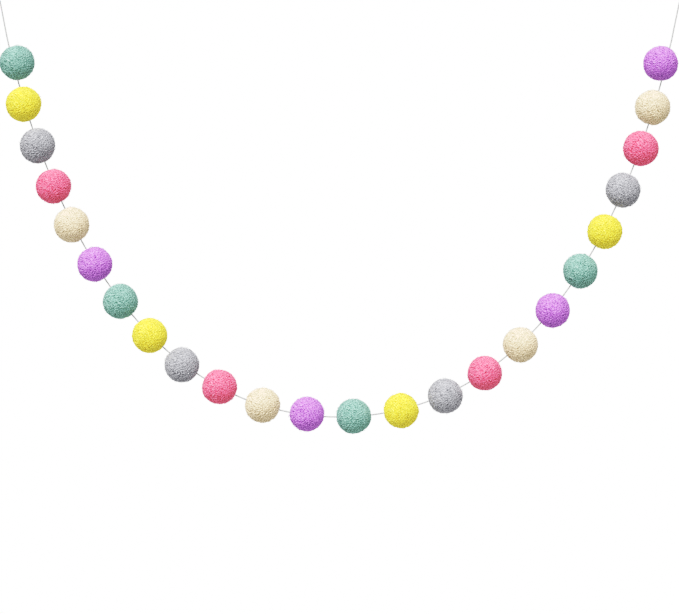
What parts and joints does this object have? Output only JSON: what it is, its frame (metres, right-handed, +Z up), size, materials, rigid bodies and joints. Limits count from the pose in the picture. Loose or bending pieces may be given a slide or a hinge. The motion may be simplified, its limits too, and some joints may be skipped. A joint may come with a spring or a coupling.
{
  "type": "felt ball garland",
  "caption": "Garland of round wool felt balls in pastel colours, threaded on a thin cotton string that hangs in a deep swag between two tied loops.",
  "frame": {"origin": "seat of the left hanging loop: the inner top point of the loop, where its hook carries it", "axes": "+X along the swag from the left loop to the right loop, +Y away from the viewer and square to the plane in which the garland hangs, +Z up"},
  "size_m": [0.5087, 0.0255, 0.3415],
  "materials": {
    "teal_felt": "matted wool felt, matt with a soft nap",
    "yellow_felt": "matted wool felt, matt with a soft nap",
    "grey_felt": "matted wool felt, matt with a soft nap",
    "pink_felt": "matted wool felt, matt with a soft nap",
    "cream_felt": "matted wool felt, matt with a soft nap",
    "purple_felt": "matted wool felt, matt with a soft nap",
    "cotton_string": "twisted cotton, matt"
  },
  "bodies": {
    "root": {"felt_ball_01": "teal_felt", "felt_ball_02": "yellow_felt", "felt_ball_03": "grey_felt", "felt_ball_04": "pink_felt", "felt_ball_05": "cream_felt", "felt_ball_06": "purple_felt", "felt_ball_07": "teal_felt", "felt_ball_08": "yellow_felt", "felt_ball_09": "grey_felt", "felt_ball_10": "pink_felt", "felt_ball_11": "cream_felt", "felt_ball_12": "purple_felt", "felt_ball_13": "teal_felt", "felt_ball_14": "yellow_felt", "felt_ball_15": "grey_felt", "felt_ball_16": "pink_felt", "felt_ball_17": "cream_felt", "felt_ball_18": "purple_felt", "felt_ball_19": "teal_felt", "felt_ball_20": "yellow_felt", "felt_ball_21": "grey_felt", "felt_ball_22": "pink_felt", "felt_ball_23": "cream_felt", "felt_ball_24": "purple_felt", "string": "cotton_string", "left_loop": "cotton_string", "right_loop": "cotton_string"}
  },
  "joints": []
}
